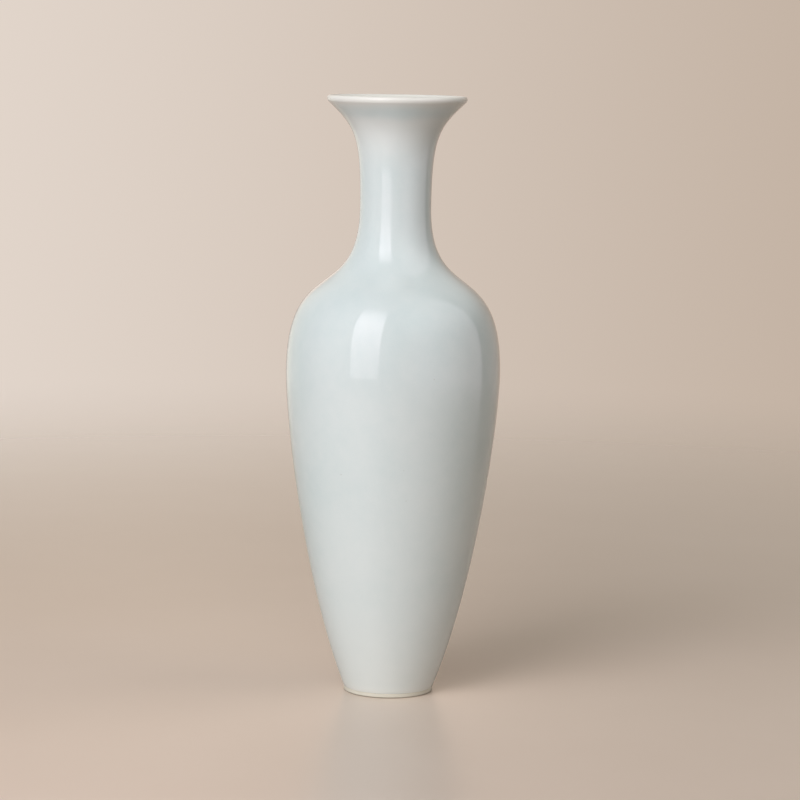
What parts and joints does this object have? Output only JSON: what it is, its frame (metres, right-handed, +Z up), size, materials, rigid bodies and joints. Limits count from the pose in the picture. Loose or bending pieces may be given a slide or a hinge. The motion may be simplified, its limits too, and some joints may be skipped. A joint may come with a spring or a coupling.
{
  "type": "willow leaf vase",
  "caption": "Slender glazed porcelain vase with a small foot, a high belly, a narrow neck and a trumpet mouth, for holding stems of flowers.",
  "frame": {"origin": "centre of the foot ring, on the surface the vase stands on", "axes": "+Z up along the axis of the turned form, X and Y in the plane of the foot"},
  "size_m": [0.086, 0.086, 0.24],
  "materials": {
    "biscuit_porcelain": "bare fired porcelain, fine matt grain",
    "luting_slip": "fired slip, matt",
    "celadon_glaze": "pale celadon blue glaze, high gloss",
    "white_glaze": "warm white glaze, high gloss"
  },
  "bodies": {
    "root": {"lower_body": "biscuit_porcelain", "shoulder_section": "biscuit_porcelain", "mouth_section": "biscuit_porcelain", "belly_seam_slip": "luting_slip", "neck_seam_slip": "luting_slip", "outer_glaze": "celadon_glaze", "lip_glaze": "white_glaze", "inner_glaze": "white_glaze", "base_glaze": "white_glaze"}
  },
  "joints": []
}
